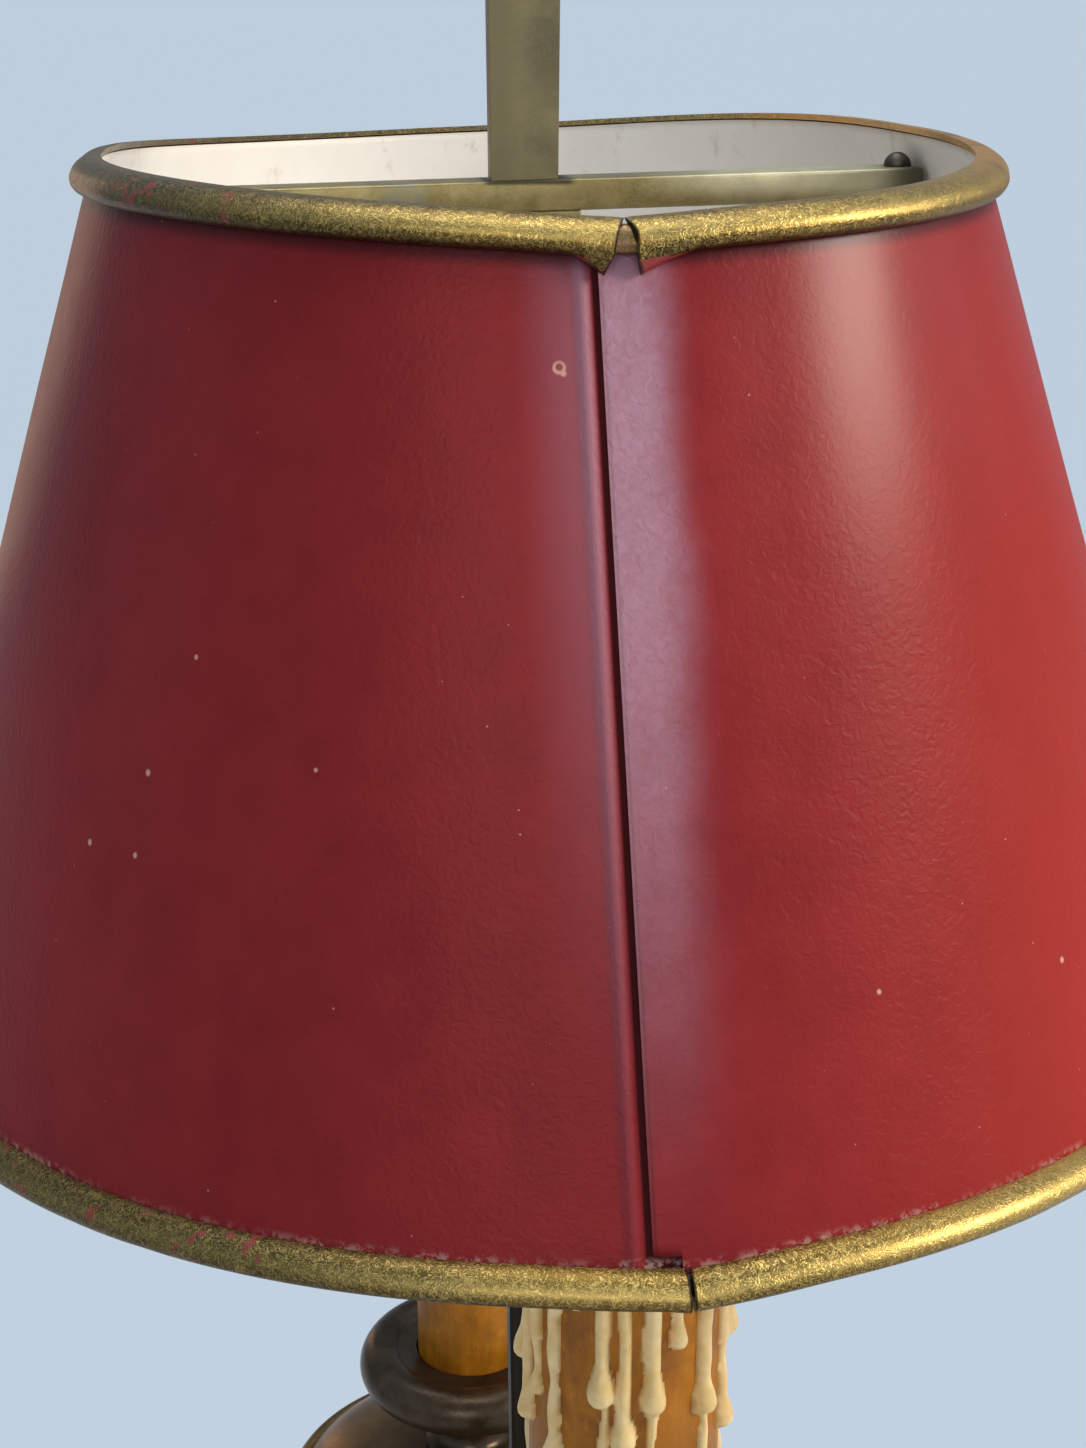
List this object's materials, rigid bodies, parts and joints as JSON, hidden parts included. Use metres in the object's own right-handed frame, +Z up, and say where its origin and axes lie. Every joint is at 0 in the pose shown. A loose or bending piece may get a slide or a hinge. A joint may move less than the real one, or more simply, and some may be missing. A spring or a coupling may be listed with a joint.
{
  "type": "candle lamp with shade",
  "caption": "Candle-style table lamp with a dish base, turned column, curved arms with drip pans and candle sleeves, and an oval metal shade that slides on a flat rod.",
  "frame": {"origin": "middle of the felt's underside, where the lamp stands", "axes": "+Z up along the column, arms and the shade's long axis along Y with the wax-run candle at -Y, crossbar along X"},
  "size_m": [0.2356, 0.316, 0.6008],
  "materials": {
    "aged_brass": "patinated turned brass",
    "pan_bronze": "warm patinated spun brass",
    "dark_bronze": "dark bronzed brass",
    "rod_brass": "dull olive drawn brass bar",
    "bar_brass": "mottled dull brass",
    "bead_brass": "scratched half-round brass moulding",
    "screw_brass": "machined brass",
    "cast_iron": "raw casting",
    "felt": "green felt",
    "bush_plastic": "moulded bush",
    "red_tin": "satin red outside, white inside",
    "solder": "grey solder",
    "sleeve_ochre": "ochre candle tube",
    "wax": "cream wax-like runs",
    "bulb_glass": "clear candle bulb",
    "cap_metal": "rolled screw cap",
    "holder_plastic": "cream lampholder",
    "wire": "insulated flex"
  },
  "bodies": {
    "lamp": {"base_dish": "aged_brass", "base_weight": "cast_iron", "base_felt": "felt", "base_washer": "screw_brass", "base_nut": "screw_brass", "cord_bush": "bush_plastic", "tie_tube": "screw_brass", "column_foot": "aged_brass", "column_stem": "aged_brass", "column_knop": "aged_brass", "arm_hub": "aged_brass", "rod_cap": "aged_brass", "rod_pin": "aged_brass", "shade_rod": "rod_brass", "rod_finial": "aged_brass", "arm_near": "aged_brass", "arm_far": "aged_brass", "drip_pan_near": "pan_bronze", "drip_pan_far": "pan_bronze", "candle_cup_near": "dark_bronze", "candle_cup_far": "dark_bronze", "nipple_near": "screw_brass", "nipple_far": "screw_brass", "pan_nut_near": "screw_brass", "pan_nut_far": "screw_brass", "holder_near": "holder_plastic", "holder_far": "holder_plastic", "holder_contact_near": "screw_brass", "holder_contact_far": "screw_brass", "candle_sleeve_near": "sleeve_ochre", "candle_sleeve_far": "sleeve_ochre", "wax_drips": "wax", "bulb_glass_near": "bulb_glass", "bulb_glass_far": "bulb_glass", "bulb_cap_near": "cap_metal", "bulb_cap_far": "cap_metal", "inner_wires": "wire"},
    "shade": {"shade_wall": "red_tin", "top_bead": "bead_brass", "bottom_bead": "bead_brass", "crossbar": "bar_brass", "solder_lugs": "solder", "slide_collar": "bar_brass"},
    "screw": {"thumb_screw": "screw_brass"}
  },
  "joints": [
    {"name": "shade_slide", "type": "slide", "parent": "lamp", "child": "shade", "axis": [0, 0, 1], "range_m": [-0.02, 0.028]},
    {"name": "thumb_screw_turn", "type": "hinge", "parent": "shade", "child": "screw", "pos_m": [0.00029, 0.015, 0.48306], "axis": [0, 1, 0], "range_deg": [-360, 0]}
  ]
}
